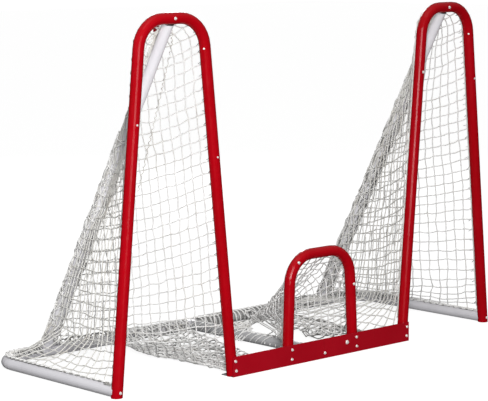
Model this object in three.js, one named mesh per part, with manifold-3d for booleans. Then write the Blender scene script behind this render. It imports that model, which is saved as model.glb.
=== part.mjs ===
// Street-hockey target goal: two tall corner arches, a small centre arch, a plate, a floor base and nets.
// Units are millimetres. X runs along the goal line, Y runs from the mouth to the back, Z is up.
import * as THREE from 'three';
import { mergeVertices } from 'three/addons/utils/BufferGeometryUtils.js';
import Module from 'manifold-3d';

const wasm = await Module();
wasm.setup();

// ---- overall sizes ----
const GOAL_WIDTH = 1828.8;          // outside of the outer feet, 72 in
const GOAL_HEIGHT = 1219.2;         // top of the tall arches, 48 in
const TUBE_R = 19.05;               // 1.5 in tube
const TUBE_WALL = 1.5;
const GAP = 0.3;                    // running gap between neighbouring pieces
const TUBE_SIDES = 20;              // flats round the outside of a tube
const BORE_SIDES = 10;              // flats round the inside of a tube
const BEND_STEPS = 8;               // straight steps in one tube bend
const BEND_R = 100;                 // centreline radius of every tube bend

// ---- tall arches, in their own plane: u from the inner foot outwards, t backwards, z up ----
const INNER_FOOT_X = 416.4;
const ARCH_YAW = THREE.MathUtils.degToRad(2.6);
const LEG_TAPER = 0.0949;           // each leg leans towards the other by this much per mm of height
const ARCH_SPAN = (GOAL_WIDTH / 2 - TUBE_R - INNER_FOOT_X) / Math.cos(ARCH_YAW);
const TOP_AXIS_Z = GOAL_HEIGHT - TUBE_R;

// ---- front plate, an angle with an upright face and a foot under the legs ----
const PLATE_WIDTH = 863;
const PLATE_HEIGHT = 69.5;
const PLATE_T = 3;
const PLATE_FOOT_BACK = 37;
const PLATE_FRONT = -(TUBE_R + GAP + PLATE_T);

// ---- centre arch ----
const CENTRE_FOOT_X = 160.5;
const CENTRE_TAPER = 0.047;
const CENTRE_TOP_Z = 391;

// ---- base and struts ----
const BASE_AXIS_Y = 686;            // back tube, measured from the goal line
const SIDE_X = GOAL_WIDTH / 2 - TUBE_R;
const OUTER_FOOT_Y = ARCH_SPAN * Math.sin(ARCH_YAW);
const SIDE_START_Y = OUTER_FOOT_Y + TUBE_R + GAP;
const STRUT_TOP = { t: 26, z: 1172 };
const STRUT_FOOT_X = 681;
const STRUT_TRIM_Z = 1205;
const SADDLE_T = 5.4;
const PLUG_R = 16.6;

// ---- net hook behind the top of each strut, a strap turned up at its end ----
const HOOK = { width: 22, reach: 84, bottom: 1155, top: 1183, thick: 3 };

// ---- fasteners ----
const SCREW = { head: 5.5, headHeight: 3.4, shank: 3 };
const BUTTON = { head: 8, headHeight: 3.4, shank: 4.5 };
const SMALL_SCREW = { head: 3.8, headHeight: 2.4, shank: 2.2 };
const SCREW_SIDES = 8;
const HOLE_CLEARANCE = 0.6;

// ---- nets ----
const NET_T = 4;
const NET_OFF = TUBE_R + 6;         // net centre from a tube axis

const FRONT_MOST = PLATE_FRONT - GAP - SCREW.headHeight;
const CENTRE_Y = (BASE_AXIS_Y + TUBE_R + FRONT_MOST) / 2;

const finishes = {
  red: { color: 0xb8081a, roughness: 0.28, metalness: 0.15 },
  white: { color: 0xe2e0e4, roughness: 0.35, metalness: 0.1 },
  zinc: { color: 0xe6e4df, roughness: 0.3, metalness: 0.7 },
  black: { color: 0x1b1b1d, roughness: 0.6, metalness: 0.0 },
  net: { color: 0xece9e4, roughness: 0.85, metalness: 0.0 },
};

const goal = new THREE.Group();
goal.name = 'hockey_goal';

function addPart(name, geometry, finish) {
  geometry.translate(0, -CENTRE_Y, 0);
  const mesh = new THREE.Mesh(geometry, new THREE.MeshStandardMaterial(finishes[finish]));
  mesh.name = name;
  goal.add(mesh);
}

// ---- solids ----
function toSolid(geometry) {
  const bare = geometry.clone();
  bare.deleteAttribute('normal');
  bare.deleteAttribute('uv');
  const welded = mergeVertices(bare, 1e-3);
  return new wasm.Manifold(new wasm.Mesh({
    numProp: 3,
    vertProperties: new Float32Array(welded.attributes.position.array),
    triVerts: new Uint32Array(welded.index.array),
  }));
}

function toGeometry(solid) {
  const mesh = solid.getMesh();
  const geometry = new THREE.BufferGeometry();
  geometry.setAttribute('position', new THREE.BufferAttribute(mesh.vertProperties.slice(), 3));
  geometry.setIndex(new THREE.BufferAttribute(mesh.triVerts.slice(), 1));
  geometry.computeVertexNormals();
  return geometry;
}

function rod(from, to, radius, sides = 12) {
  const length = from.distanceTo(to);
  const geometry = new THREE.CylinderGeometry(radius, radius, length, sides);
  const turn = new THREE.Quaternion().setFromUnitVectors(
    new THREE.Vector3(0, 1, 0), to.clone().sub(from).normalize());
  geometry.applyQuaternion(turn);
  geometry.translate(...from.clone().add(to).multiplyScalar(0.5));
  return toSolid(geometry);
}

function box(low, high) {
  const size = high.map((value, i) => value - low[i]);
  const geometry = new THREE.BoxGeometry(...size);
  geometry.translate(...low.map((value, i) => value + size[i] / 2));
  return toSolid(geometry);
}

// ---- a tube swept along a line of straight runs and round bends ----
class TubeLine extends THREE.Curve {
  constructor(stations) {
    super();
    this.stations = stations;
  }

  getPoint(t, target = new THREE.Vector3()) {
    const place = t * (this.stations.length - 1);
    const i = Math.min(Math.floor(place), this.stations.length - 2);
    return target.lerpVectors(this.stations[i].point, this.stations[i + 1].point, place - i);
  }

  getSpacedPoints() {
    return this.stations.map((station) => station.point.clone());
  }

  getTangentAt(t, target = new THREE.Vector3()) {
    return target.copy(this.stations[Math.round(t * (this.stations.length - 1))].tangent);
  }
}

function bentLine(corners, radius) {
  const stations = [];
  const firstRun = corners[1].clone().sub(corners[0]).normalize();
  stations.push({ point: corners[0], tangent: firstRun });
  for (let i = 1; i < corners.length - 1; i += 1) {
    const before = corners[i].clone().sub(corners[i - 1]).normalize();
    const after = corners[i + 1].clone().sub(corners[i]).normalize();
    const turn = before.angleTo(after);
    const axis = before.clone().cross(after).normalize();
    const start = corners[i].clone().addScaledVector(before, -radius * Math.tan(turn / 2));
    const centre = start.clone().addScaledVector(axis.clone().cross(before), radius);
    for (let step = 0; step <= BEND_STEPS; step += 1) {
      const angle = (turn * step) / BEND_STEPS;
      const arm = start.clone().sub(centre).applyAxisAngle(axis, angle);
      stations.push({ point: centre.clone().add(arm), tangent: before.clone().applyAxisAngle(axis, angle) });
    }
  }
  const lastRun = corners.at(-1).clone().sub(corners.at(-2)).normalize();
  stations.push({ point: corners.at(-1), tangent: lastRun });
  return new TubeLine(stations);
}

function ring(radius, sides) {
  return Array.from({ length: sides }, (_, i) => new THREE.Vector2(
    radius * Math.cos((2 * Math.PI * i) / sides), radius * Math.sin((2 * Math.PI * i) / sides)));
}

function tube(corners) {
  const line = bentLine(corners, BEND_R);
  const section = new THREE.Shape(ring(TUBE_R, TUBE_SIDES));
  const bore = (TUBE_R - TUBE_WALL) * 1.034;   // a ten-sided bore with the area of the round one
  section.holes.push(new THREE.Path(ring(bore, BORE_SIDES)));
  return toSolid(new THREE.ExtrudeGeometry(section, {
    steps: line.stations.length - 1,
    extrudePath: line,
  }));
}

// ---- places on the goal ----
function point(x, y, z) {
  return new THREE.Vector3(x, y, z);
}

function onArch(side, u, t, z) {
  const along = point(side * Math.cos(ARCH_YAW), Math.sin(ARCH_YAW), 0);
  const back = point(-side * Math.sin(ARCH_YAW), Math.cos(ARCH_YAW), 0);
  return point(side * INNER_FOOT_X, 0, z).addScaledVector(along, u).addScaledVector(back, t);
}

function innerLeg(z) {
  return LEG_TAPER * z;
}

function outerLeg(z) {
  return ARCH_SPAN - LEG_TAPER * z;
}

function onStrut(side, z) {
  const top = onArch(side, ARCH_SPAN / 2, STRUT_TOP.t, STRUT_TOP.z);
  const foot = point(side * STRUT_FOOT_X, BASE_AXIS_Y, TUBE_R);
  return top.lerp(foot, (STRUT_TOP.z - z) / (STRUT_TOP.z - TUBE_R));
}

function centreLeg(z) {
  return CENTRE_FOOT_X - CENTRE_TAPER * z;
}

// ---- fasteners: the solid of one and the hole it needs ----
function screw(seat, direction, length, kind = SCREW) {
  const profile = [
    [0, -kind.headHeight],
    [kind.head * 0.7, -kind.headHeight],
    [kind.head, 0],
    [kind.shank, 0],
    [kind.shank, length],
    [0, length],
  ].map(([x, y]) => new THREE.Vector2(x, y));
  const geometry = new THREE.LatheGeometry(profile, SCREW_SIDES);
  geometry.applyQuaternion(new THREE.Quaternion().setFromUnitVectors(point(0, 1, 0), direction));
  geometry.translate(...seat);
  return toGeometry(toSolid(geometry));
}

function screwHole(seat, direction, length, kind = SCREW) {
  const start = seat.clone().addScaledVector(direction, -5);
  const end = seat.clone().addScaledVector(direction, length + 1);
  return rod(start, end, kind.shank + HOLE_CLEARANCE, SCREW_SIDES);
}

const BACK = point(0, 1, 0);
const fasteners = [];

function addScrew(name, seat, direction, length, kind = SCREW) {
  fasteners.push({ name, seat, direction, length, kind });
}

function drilled(solid) {
  return fasteners.reduce(
    (rest, f) => rest.subtract(screwHole(f.seat, f.direction, f.length, f.kind)), solid);
}

const plateSeat = (x, z) => point(x, PLATE_FRONT - GAP, z);
for (const [label, side] of [['left', -1], ['right', 1]]) {
  for (const [level, z] of [['upper', 53], ['lower', 20]]) {
    const legX = side * (INNER_FOOT_X + innerLeg(z) * Math.cos(ARCH_YAW));
    addScrew(`${label}_leg_plate_bolt_${level}`, plateSeat(legX, z), BACK, 14);
    addScrew(`${label}_centre_plate_bolt_${level}`, plateSeat(side * centreLeg(z), z), BACK, 14);
  }
  const archBack = onArch(side, 0, 1, 0).sub(onArch(side, 0, 0, 0));
  const archSeat = (u, z) => onArch(side, u, -TUBE_R - GAP, z);
  addScrew(`${label}_arch_top_bolt`, archSeat(ARCH_SPAN / 2, TOP_AXIS_Z), archBack, 46);
  addScrew(`${label}_foot_bolt`, point(side * SIDE_X, OUTER_FOOT_Y - TUBE_R - GAP, 18), BACK, 62);
  const innerZ = side < 0 ? 743 : 972;
  const outerZ = side < 0 ? 869 : 933;
  addScrew(`${label}_inner_leg_screw`, archSeat(innerLeg(innerZ), innerZ), archBack, 9,
    side < 0 ? SMALL_SCREW : SCREW);
  addScrew(`${label}_outer_leg_screw`, archSeat(outerLeg(outerZ), outerZ), archBack, 9, SMALL_SCREW);

  // The shoulder screw sits on the bend's mouth side, turned half way from the front to the opening.
  const shoulderU = side < 0 ? 106 : ARCH_SPAN - 106;
  const shoulder = onArch(side, shoulderU, 0, 1099);
  const outward = onArch(side, shoulderU + (side < 0 ? 1 : -1), -1, 1099).sub(shoulder).normalize();
  addScrew(`${label}_arch_shoulder_screw`,
    shoulder.addScaledVector(outward, TUBE_R + GAP), outward.clone().negate(), 9, SMALL_SCREW);
}
addScrew('stringer_bolt', plateSeat(0, TUBE_R), BACK, 32);
addScrew('plate_button', plateSeat(110.5, 41), BACK, 5, BUTTON);
addScrew('centre_shoulder_screw', point(-122, -TUBE_R - GAP, 351), BACK, 9);
addScrew('centre_leg_screw', point(centreLeg(244), -TUBE_R - GAP, 244), BACK, 9);

for (const f of fasteners) {
  addPart(f.name, screw(f.seat, f.direction, f.length, f.kind), 'zinc');
}

// ---- red frame ----
const aboveFloor = box([-1000, -100, 0], [1000, 800, 1300]);
const abovePlateFoot = box([-PLATE_WIDTH / 2 - GAP, -100, 0], [PLATE_WIDTH / 2 + GAP, 100, PLATE_T + GAP]);

for (const [label, side] of [['left', -1], ['right', 1]]) {
  const arch = tube([
    onArch(side, innerLeg(-20), 0, -20),
    onArch(side, innerLeg(TOP_AXIS_Z), 0, TOP_AXIS_Z),
    onArch(side, outerLeg(TOP_AXIS_Z), 0, TOP_AXIS_Z),
    onArch(side, outerLeg(-20), 0, -20),
  ]);
  addPart(`${label}_arch`, toGeometry(drilled(arch.intersect(aboveFloor).subtract(abovePlateFoot))), 'red');

  const hookProfile = new THREE.Shape([
    [30, HOOK.bottom],
    [HOOK.reach, HOOK.bottom],
    [HOOK.reach, HOOK.top],
    [HOOK.reach - HOOK.thick, HOOK.top],
    [HOOK.reach - HOOK.thick, HOOK.bottom + HOOK.thick],
    [30, HOOK.bottom + HOOK.thick],
  ].map(([t, z]) => new THREE.Vector2(t, z)));
  const hook = new THREE.ExtrudeGeometry(hookProfile, { depth: HOOK.width, bevelEnabled: false });
  hook.translate(0, 0, -HOOK.width / 2);
  const frame = new THREE.Matrix4().makeBasis(
    onArch(side, 0, 1, 0).sub(onArch(side, 0, 0, 0)),
    point(0, 0, 1),
    onArch(side, side, 0, 0).sub(onArch(side, 0, 0, 0)));
  hook.applyMatrix4(frame.setPosition(onArch(side, ARCH_SPAN / 2, 0, 0)));
  const strutSpace = rod(onStrut(side, 1250), onStrut(side, 1000), TUBE_R + GAP, 24);
  const behind = toSolid(hook).subtract(strutSpace).decompose();
  const farthest = behind.reduce((best, piece) => (
    piece.boundingBox().max[1] > best.boundingBox().max[1] ? piece : best));
  addPart(`${label}_net_hook`, toGeometry(farthest), 'red');
}

const centreTopAxis = CENTRE_TOP_Z - TUBE_R;
const centreArch = tube([
  point(-centreLeg(-20), 0, -20),
  point(-centreLeg(centreTopAxis), 0, centreTopAxis),
  point(centreLeg(centreTopAxis), 0, centreTopAxis),
  point(centreLeg(-20), 0, -20),
]);
addPart('centre_arch', toGeometry(drilled(centreArch.intersect(aboveFloor).subtract(abovePlateFoot))), 'red');

const plateFace = box([-PLATE_WIDTH / 2, PLATE_FRONT, 0], [PLATE_WIDTH / 2, PLATE_FRONT + PLATE_T, PLATE_HEIGHT]);
const plateFoot = box([-PLATE_WIDTH / 2, PLATE_FRONT, 0], [PLATE_WIDTH / 2, PLATE_FOOT_BACK, PLATE_T]);
addPart('front_plate', toGeometry(drilled(plateFace.add(plateFoot))), 'red');

// ---- white base and struts ----
const outerLegSpace = (side) => rod(
  onArch(side, outerLeg(-20), 0, -20), onArch(side, outerLeg(120), 0, 120), TUBE_R + GAP, 24);
const baseTube = tube([
  point(-SIDE_X, OUTER_FOOT_Y + 2, TUBE_R),
  point(-SIDE_X, BASE_AXIS_Y, TUBE_R),
  point(SIDE_X, BASE_AXIS_Y, TUBE_R),
  point(SIDE_X, OUTER_FOOT_Y + 2, TUBE_R),
]);
addPart('base_tube', toGeometry(baseTube.subtract(outerLegSpace(-1)).subtract(outerLegSpace(1))), 'white');

const backTubeSpace = rod(
  point(-SIDE_X, BASE_AXIS_Y, TUBE_R), point(SIDE_X, BASE_AXIS_Y, TUBE_R), TUBE_R + GAP, 24);
const plateFootSpace = box(
  [-60, PLATE_FRONT - 20, -5], [60, PLATE_FOOT_BACK + GAP, PLATE_T + GAP]);
const stringer = tube([
  point(0, PLATE_FRONT + PLATE_T + GAP, TUBE_R),
  point(0, BASE_AXIS_Y, TUBE_R),
]);
addPart('centre_stringer', toGeometry(stringer.subtract(backTubeSpace).subtract(plateFootSpace)), 'white');

const stringerPlug = rod(
  point(0, PLATE_FRONT + PLATE_T + GAP, TUBE_R), point(0, 16, TUBE_R), PLUG_R, 16);
addPart('stringer_plug', toGeometry(drilled(stringerPlug.subtract(plateFootSpace))), 'black');

for (const [label, side] of [['left', -1], ['right', 1]]) {
  const sidePlug = rod(
    point(side * SIDE_X, SIDE_START_Y, TUBE_R), point(side * SIDE_X, SIDE_START_Y + 30, TUBE_R), PLUG_R, 16);
  addPart(`${label}_side_plug`, toGeometry(drilled(sidePlug)), 'black');

  const archTopSpace = (radius) => rod(
    onArch(side, ARCH_SPAN / 2 - 60, 0, TOP_AXIS_Z), onArch(side, ARCH_SPAN / 2 + 60, 0, TOP_AXIS_Z), radius, 24);
  const belowTrim = box([-1000, -100, 0], [1000, 800, STRUT_TRIM_Z]);
  const strutTop = onStrut(side, TOP_AXIS_Z + 8);
  const strut = tube([strutTop, onStrut(side, TUBE_R)]);
  addPart(`${label}_strut`, toGeometry(strut
    .subtract(archTopSpace(TUBE_R + SADDLE_T + GAP))
    .subtract(backTubeSpace)
    .intersect(belowTrim)), 'white');

  const pad = rod(strutTop, onStrut(side, 1150), TUBE_R, TUBE_SIDES)
    .intersect(archTopSpace(TUBE_R + SADDLE_T));
  const spigot = rod(strutTop, onStrut(side, 1135), PLUG_R, 16);
  addPart(`${label}_strut_saddle`, toGeometry(drilled(pad.add(spigot)
    .subtract(archTopSpace(TUBE_R + GAP))
    .intersect(belowTrim))), 'black');
}

// ---- nets, each a thin sheet over a grid of points ----
function sheet(rows) {
  const normalAt = (i, j) => {
    const down = rows[Math.min(i + 1, rows.length - 1)][j].clone().sub(rows[Math.max(i - 1, 0)][j]);
    const along = rows[i][Math.min(j + 1, rows[i].length - 1)].clone().sub(rows[i][Math.max(j - 1, 0)]);
    return down.cross(along).normalize();
  };
  const columns = rows[0].length;
  const count = rows.length * columns;
  const positions = [];
  for (const half of [NET_T / 2, -NET_T / 2]) {
    rows.forEach((row, i) => row.forEach((place, j) => {
      positions.push(...place.clone().addScaledVector(normalAt(i, j), half));
    }));
  }
  const index = [];
  const quad = (a, b, c, d) => index.push(a, b, c, a, c, d);
  for (let i = 0; i < rows.length - 1; i += 1) {
    for (let j = 0; j < columns - 1; j += 1) {
      const a = i * columns + j;
      quad(a, a + columns, a + columns + 1, a + 1);
      quad(count + a, count + a + 1, count + a + columns + 1, count + a + columns);
    }
  }
  const rim = [];
  for (let j = 0; j < columns - 1; j += 1) rim.push(j);
  for (let i = 0; i < rows.length - 1; i += 1) rim.push(i * columns + columns - 1);
  for (let j = columns - 1; j > 0; j -= 1) rim.push((rows.length - 1) * columns + j);
  for (let i = rows.length - 1; i > 0; i -= 1) rim.push(i * columns);
  rim.forEach((a, k) => {
    const b = rim[(k + 1) % rim.length];
    quad(a, b, count + b, count + a);
  });
  const geometry = new THREE.BufferGeometry();
  geometry.setAttribute('position', new THREE.BufferAttribute(new Float32Array(positions), 3));
  geometry.setIndex(index);
  const solid = toSolid(geometry);
  return solid.volume() < 0 ? toGeometry(toSolid(geometry.setIndex(index.reverse()))) : toGeometry(solid);
}

function between(from, to, steps) {
  return Array.from({ length: steps + 1 }, (_, i) => from.clone().lerp(to, i / steps));
}

// The arch bend at an angle above its springing, on the inner or the outer side.
function onBend(side, outer, degrees) {
  const lean = Math.atan(LEG_TAPER);
  const springZ = TOP_AXIS_Z - BEND_R * (1 - Math.sin(lean));
  const centreU = innerLeg(springZ) + BEND_R * Math.cos(lean);
  const angle = THREE.MathUtils.degToRad(degrees);
  const u = centreU - BEND_R * Math.cos(angle);
  const z = TOP_AXIS_Z - BEND_R + BEND_R * Math.sin(angle);
  return onArch(side, outer ? ARCH_SPAN - u : u, NET_OFF, z);
}

const STRUT_ROWS = [1150, 1110, 870, 630, 390, 120];
const LEG_ROWS = [850, 600, 350];
const NET_BACK_Y = BASE_AXIS_Y - 36;
const NET_BACK_Z = 2 * TUBE_R + 8;
const NET_FLOOR_Z = 8;
const NET_FOOT_X = 540;
const CENTRE_NET_BACK_X = 250;

for (const [label, side] of [['left', -1], ['right', 1]]) {
  const outerEdge = [
    onBend(side, true, 45),
    onBend(side, true, 10),
    ...LEG_ROWS.map((z) => onArch(side, outerLeg(z), NET_OFF, z)),
    onArch(side, outerLeg(52), NET_OFF, 52),
  ];
  const outerRows = outerEdge.map((front, i) => between(
    front, onStrut(side, STRUT_ROWS[i]).add(point(side * NET_OFF, 0, 0)), 2));
  addPart(`${label}_outer_net`, sheet(outerRows), 'net');

  const innerEdge = [
    onBend(side, false, 45),
    onBend(side, false, 10),
    ...LEG_ROWS.map((z) => onArch(side, innerLeg(z), NET_OFF, z)),
    onArch(side, innerLeg(45), NET_OFF + 10, 45),
  ];
  const innerBack = STRUT_ROWS.slice(0, 5).map((z) => onStrut(side, z).add(point(-side * NET_OFF, 0, 0)));
  innerBack.push(point(side * NET_FOOT_X, NET_BACK_Y, NET_BACK_Z + 4));
  const innerRows = innerEdge.map((front, i) => between(front, innerBack[i], 2));
  addPart(`${label}_inner_net`, sheet(innerRows), 'net');

  const seam = outerRows.at(-1);
  const skirtRows = [0.15, 0.45, 0.75, 1].map((share) => between(
    seam[0].clone().lerp(seam[2], share).add(point(0, 0, -7)),
    point(side * (SIDE_X - 20 * share ** 4), 60 + 590 * share, 2 * TUBE_R + 6), 1));
  addPart(`${label}_skirt_net`, sheet(skirtRows), 'net');

  const floorPlan = [[0, 0, 405], [0.25, 0, 418], [0.55, 0.03, 424], [0.8, 0.2, 410], [1, 1, 392]];
  const floorRows = floorPlan.map(([share, rise, outerX]) => {
    const y = 45 + (NET_BACK_Y - 45) * share;
    const z = NET_FLOOR_Z + (NET_BACK_Z - NET_FLOOR_Z) * rise;
    return between(point(side * outerX, y, z), point(side * (190 + 90 * share), y, z), 2);
  });
  addPart(`${label}_floor_net`, sheet(floorRows), 'net');
}

// The centre net hangs from the small arch and sags on to the stringer before it reaches the back tube.
const centreBend = centreTopAxis - BEND_R * 0.3;
const centreOutline = [
  [centreLeg(50), 50, 1],
  [centreLeg(245), 245, 0.75],
  [centreLeg(centreTopAxis) - 26, centreBend, 0.4],
  [0, centreTopAxis, 0],
];
const centreRows = centreOutline.map(([x, z, spread]) => [0, 0.15, 0.35, 0.65, 1].map((share) => point(
  x + (CENTRE_NET_BACK_X * spread - x) * share,
  NET_OFF + (NET_BACK_Y - NET_OFF) * share,
  NET_BACK_Z + (z - NET_BACK_Z) * (1 - share) ** 3)));
const mirrored = (row) => row.map((place) => point(-place.x, place.y, place.z));
addPart('centre_net', sheet([...centreRows, ...centreRows.slice(0, 3).reverse().map(mirrored)]), 'net');

export default goal;
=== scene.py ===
from math import atan, cos, degrees, pi, radians, sin, sqrt

import bpy
import numpy as np
from mathutils import Matrix, Vector
from numpy.linalg import norm


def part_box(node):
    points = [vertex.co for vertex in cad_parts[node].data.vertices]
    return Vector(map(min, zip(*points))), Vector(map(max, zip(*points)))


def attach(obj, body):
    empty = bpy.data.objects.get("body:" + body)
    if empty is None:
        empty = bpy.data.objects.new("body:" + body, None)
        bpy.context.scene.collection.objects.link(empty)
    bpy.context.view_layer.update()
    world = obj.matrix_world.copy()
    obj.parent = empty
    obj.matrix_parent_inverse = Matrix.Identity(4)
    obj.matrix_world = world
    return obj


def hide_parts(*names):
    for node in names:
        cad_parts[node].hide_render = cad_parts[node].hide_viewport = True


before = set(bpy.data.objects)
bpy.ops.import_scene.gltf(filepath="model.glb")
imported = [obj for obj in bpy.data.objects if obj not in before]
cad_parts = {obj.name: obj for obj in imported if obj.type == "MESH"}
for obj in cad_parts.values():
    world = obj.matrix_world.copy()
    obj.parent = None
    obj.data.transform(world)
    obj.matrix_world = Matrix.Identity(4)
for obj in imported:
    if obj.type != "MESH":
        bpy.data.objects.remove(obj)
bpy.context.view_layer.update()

MM = 0.001
rng = np.random.default_rng(20261117)

# -------------------- places, in metres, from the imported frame
base_low, base_high = (np.array(corner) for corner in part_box("base_tube"))
_, arch_high = (np.array(corner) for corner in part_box("right_arch"))
plate_low, _ = (np.array(corner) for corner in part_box("front_plate"))
_, small_high = (np.array(corner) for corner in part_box("centre_arch"))
_, strut_high = (np.array(corner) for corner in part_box("right_strut"))

TUBE_R = (base_high[2] - base_low[2]) / 2
SIDE_X = base_high[0] - TUBE_R  # middle line of the side tubes
BACK_Y = base_high[1] - TUBE_R  # middle line of the back tube
BEND_R = 100 * MM  # every bend of the arches and the base

PLATE_TO_LEGS = 22.35 * MM
LEG_Y = plate_low[1] + PLATE_TO_LEGS  # the tall arches' inner feet stand on this line
INNER_X = 416.4 * MM
ARCH_YAW = radians(2.6)
ARCH_SPAN = (SIDE_X - INNER_X) / cos(ARCH_YAW)
LEG_TAPER = 0.0949  # a leg's lean, as run over rise
TOP_Z = arch_high[2] - TUBE_R

SMALL_TOP_Z = small_high[2] - TUBE_R
SMALL_FOOT_X = 160.5 * MM
SMALL_TAPER = 0.047

STRUT_FOOT_X = strut_high[0] - TUBE_R
STRUT_TOP_Z = 1172 * MM
STRUT_TOP_BACK = 26 * MM  # how far the strut's top is behind its arch

CORD_R = 2.1 * MM
MESH = 38 * MM  # from knot to knot
NET_OFF = TUBE_R + 5 * MM  # from a tube's middle to a net hung on it
SIDE_NAMES = {-1: "left", 1: "right"}


def vec(x, y, z):
    return np.array([x, y, z], float)


def on_arch(side, u, t, z):
    """A place by a tall arch: u along it from the inner leg, t behind it, at the height z."""
    along = vec(side * cos(ARCH_YAW), sin(ARCH_YAW), 0)
    back = vec(-side * sin(ARCH_YAW), cos(ARCH_YAW), 0)
    return vec(side * INNER_X, LEG_Y, z) + u * along + t * back


def on_strut(side, z):
    """The middle line of a strut at the height z."""
    top = on_arch(side, ARCH_SPAN / 2, STRUT_TOP_BACK, STRUT_TOP_Z)
    foot = vec(side * STRUT_FOOT_X, BACK_Y, TUBE_R)
    share = (STRUT_TOP_Z - z) / (STRUT_TOP_Z - TUBE_R)
    return top + (foot - top) * share


def table(x, pairs):
    """The value at x of a line through these pairs."""
    xs, ys = zip(*pairs)
    return float(np.interp(x, xs, ys))


# -------------------- camera, lights and floor
LENS, SENSOR = 142.65, 36.0
CAMERA_PLACE = Vector((-4.68042, -5.03748, 1.4362))
CAMERA_YAW, CAMERA_PITCH, CAMERA_ROLL = (radians(a) for a in (42.617, 7.579, -0.383))


def set_sockets(node, **values):
    for socket, value in values.items():
        node.inputs[socket.replace("_", " ")].default_value = value


def add_object(name, data):
    thing = bpy.data.objects.new(name, data)
    bpy.context.scene.collection.objects.link(thing)
    return thing


def add_camera():
    data = bpy.data.cameras.new("camera")
    data.lens, data.sensor_width, data.sensor_fit = LENS, SENSOR, "HORIZONTAL"
    data.clip_start, data.clip_end = 0.1, 200
    camera = add_object("camera", data)
    forward = Vector((sin(CAMERA_YAW) * cos(CAMERA_PITCH),
                      cos(CAMERA_YAW) * cos(CAMERA_PITCH), -sin(CAMERA_PITCH)))
    level = Vector((cos(CAMERA_YAW), -sin(CAMERA_YAW), 0))
    up = level.cross(forward)
    right = cos(CAMERA_ROLL) * level + sin(CAMERA_ROLL) * up
    above = -sin(CAMERA_ROLL) * level + cos(CAMERA_ROLL) * up
    turn = Matrix((right, above, -forward)).transposed().to_4x4()
    camera.matrix_world = Matrix.Translation(CAMERA_PLACE) @ turn
    bpy.context.scene.camera = camera


def add_light(name, kind, place, target, **settings):
    """A light at a place, turned towards a target."""
    data = bpy.data.lights.new(name, kind)
    for setting, value in settings.items():
        setattr(data, setting, value)
    light = add_object(name, data)
    light.location = place
    light.rotation_euler = (Vector(target) - Vector(place)).to_track_quat("-Z", "Y").to_euler()


# The room's grey levels from straight below (0) to straight above (1): as light, and as seen in gloss.
ROOM_LIGHT = ((0.0, 0.18), (0.42, 0.22), (0.5, 0.25), (0.62, 0.30), (1.0, 0.36))
MIRRORED_ROOM = ((0.0, 0.02), (0.45, 0.03), (0.55, 0.08), (0.75, 0.35), (1.0, 0.7))
BACKDROP_LEVEL = 1.05

# Name, place, target, size and power of each soft box.
SOFT_BOXES = (("front_box", (-3.0, -3.7, 1.7), (0, 0, 0.5), (0.7, 2.4), 196),
              ("back_box", (3.4, 4.4, 2.4), (0, 0, 0.4), (1.6, 1.6), 60),
              ("side_box", (-3.6, -0.6, 2.0), (-0.4, 0, 0.6), (0.5, 1.8), 12))

FLOOR_HALF = 30
FLOOR_TONE = (0.30, 0.30, 0.30, 1)
FLOOR_GLOW = 0.84


def add_studio():
    """A white backdrop in a room that is brighter overhead than below, a soft sun and soft boxes."""
    world = bpy.data.worlds.new("studio")
    bpy.context.scene.world = world
    world.use_nodes = True
    world.cycles.sampling_method = "NONE"
    nodes, links = world.node_tree.nodes, world.node_tree.links
    nodes.clear()
    out = nodes.new("ShaderNodeOutputWorld")
    seen = nodes.new("ShaderNodeBackground")
    set_sockets(seen, Color=(1, 1, 1, 1), Strength=BACKDROP_LEVEL)
    split, direction = nodes.new("ShaderNodeSeparateXYZ"), nodes.new("ShaderNodeTexCoord")
    rise = nodes.new("ShaderNodeMapRange")
    rise.inputs["From Min"].default_value = -1
    links.new(direction.outputs["Generated"], split.inputs[0])
    links.new(split.outputs["Z"], rise.inputs["Value"])

    def sky(levels):
        ramp, glow = nodes.new("ShaderNodeValToRGB"), nodes.new("ShaderNodeBackground")
        stops = ramp.color_ramp.elements
        while len(stops) < len(levels):
            stops.new(0.5)
        for stop, (position, level) in zip(stops, levels):
            stop.position, stop.color = position, (level, level, level, 1)
        links.new(rise.outputs["Result"], ramp.inputs["Fac"])
        links.new(ramp.outputs["Color"], glow.inputs["Color"])
        return glow.outputs[0]

    path = nodes.new("ShaderNodeLightPath")
    lit, mix = nodes.new("ShaderNodeMixShader"), nodes.new("ShaderNodeMixShader")
    links.new(path.outputs["Is Glossy Ray"], lit.inputs["Fac"])
    links.new(sky(ROOM_LIGHT), lit.inputs[1])
    links.new(sky(MIRRORED_ROOM), lit.inputs[2])
    links.new(path.outputs["Is Camera Ray"], mix.inputs["Fac"])
    links.new(lit.outputs[0], mix.inputs[1])
    links.new(seen.outputs[0], mix.inputs[2])
    links.new(mix.outputs[0], out.inputs["Surface"])

    add_light("overhead", "SUN", (0, 0, 0), (0.25, 0.35, -1.0), energy=0.5, angle=radians(40))
    for name, place, target, (width, height), power in SOFT_BOXES:
        add_light(name, "AREA", place, target, shape="RECTANGLE", size=width, size_y=height, energy=power)


def add_floor():
    """A pale floor that shows the goal's shadow and throws no light or reflection on it."""
    mesh = bpy.data.meshes.new("floor")
    mesh.from_pydata([(x * FLOOR_HALF, y * FLOOR_HALF, 0) for x, y in ((-1, -1), (1, -1), (1, 1), (-1, 1))],
                     [], [(0, 1, 2, 3)])
    floor = add_object("floor", mesh)
    paint = bpy.data.materials.new("floor")
    paint.use_nodes = True
    set_sockets(paint.node_tree.nodes["Principled BSDF"], Base_Color=FLOOR_TONE, Emission_Color=(1, 1, 1, 1),
                Emission_Strength=FLOOR_GLOW, Roughness=0.9, Specular_IOR_Level=0.1)
    mesh.materials.append(paint)
    floor.visible_diffuse, floor.visible_glossy = False, False


add_camera()
add_studio()
add_floor()
bpy.context.scene.view_settings.view_transform = "Standard"
bpy.context.scene.view_settings.look = "None"


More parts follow.
